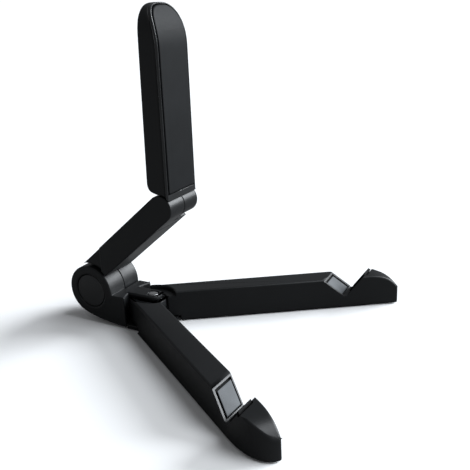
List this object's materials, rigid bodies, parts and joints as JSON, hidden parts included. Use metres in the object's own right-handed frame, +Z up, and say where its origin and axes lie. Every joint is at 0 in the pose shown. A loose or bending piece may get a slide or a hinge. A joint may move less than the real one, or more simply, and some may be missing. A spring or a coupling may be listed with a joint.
{
  "type": "tablet stand",
  "caption": "Folding desktop stand: two notched legs on one upright pin, a hinged link and an upper arm with a padded face.",
  "frame": {"origin": "on the floor, midway along and across the open stand's box", "axes": "+Z up, the padded face and the legs' toes point to -Y, the link's hinge axes run along X"},
  "size_m": [0.1816, 0.181, 0.1884],
  "materials": {
    "shell": "satin black moulded plastic with a fine spark-eroded grain",
    "trim": "satin black moulded plastic, slightly smoother than the shells",
    "soft_pad": "matt slate grey soft pad",
    "notch_pad": "matt grey soft pad",
    "foot_rubber": "matt black rubber",
    "steel": "plain bright steel"
  },
  "bodies": {
    "hub": {"hub_base_plate": "shell", "hub_foot": "foot_rubber", "hub_housing": "shell", "hub_screw_1": "steel", "hub_screw_2": "steel", "hub_side_cap": "trim", "leg_pin": "steel", "leg_pin_washer": "steel", "link_hinge_bolt": "steel", "link_hinge_nut": "steel", "link_hinge_washer": "steel"},
    "left_leg": {"left_leg_body": "shell", "left_leg_foot": "foot_rubber", "left_leg_front_notch_pad": "notch_pad", "left_leg_rear_notch_pad": "notch_pad", "left_leg_screw_1": "steel", "left_leg_screw_2": "steel", "left_leg_under_cover": "shell"},
    "right_leg": {"right_leg_body": "shell", "right_leg_foot": "foot_rubber", "right_leg_front_notch_pad": "notch_pad", "right_leg_rear_notch_pad": "notch_pad", "right_leg_screw_1": "steel", "right_leg_screw_2": "steel", "right_leg_under_cover": "shell"},
    "link": {"link_body": "shell", "link_side_cap": "trim", "link_under_cover": "shell", "arm_hinge_bolt": "steel", "arm_hinge_nut": "steel", "arm_hinge_washer": "steel"},
    "arm": {"arm_front_frame": "trim", "arm_housing": "shell", "arm_inner_plate": "shell", "arm_pad": "soft_pad", "arm_screw_1": "steel", "arm_screw_2": "steel", "arm_side_cap": "trim"}
  },
  "joints": [
    {"name": "left_leg_pivot", "type": "hinge", "parent": "hub", "child": "left_leg", "pos_m": [0, 0.03686, 0], "axis": [0, 0, 1], "range_deg": [-11, 34]},
    {"name": "right_leg_pivot", "type": "hinge", "parent": "hub", "child": "right_leg", "pos_m": [0, 0.03686, 0], "axis": [0, 0, -1], "range_deg": [-11, 34]},
    {"name": "link_hinge", "type": "hinge", "parent": "hub", "child": "link", "pos_m": [0, 0.07446, 0.0213], "axis": [1, 0, 0], "range_deg": [-75, 39.6]},
    {"name": "arm_hinge", "type": "hinge", "parent": "link", "child": "arm", "pos_m": [0, 0.01631, 0.08028], "axis": [1, 0, 0], "range_deg": [-35, 49.5]}
  ]
}
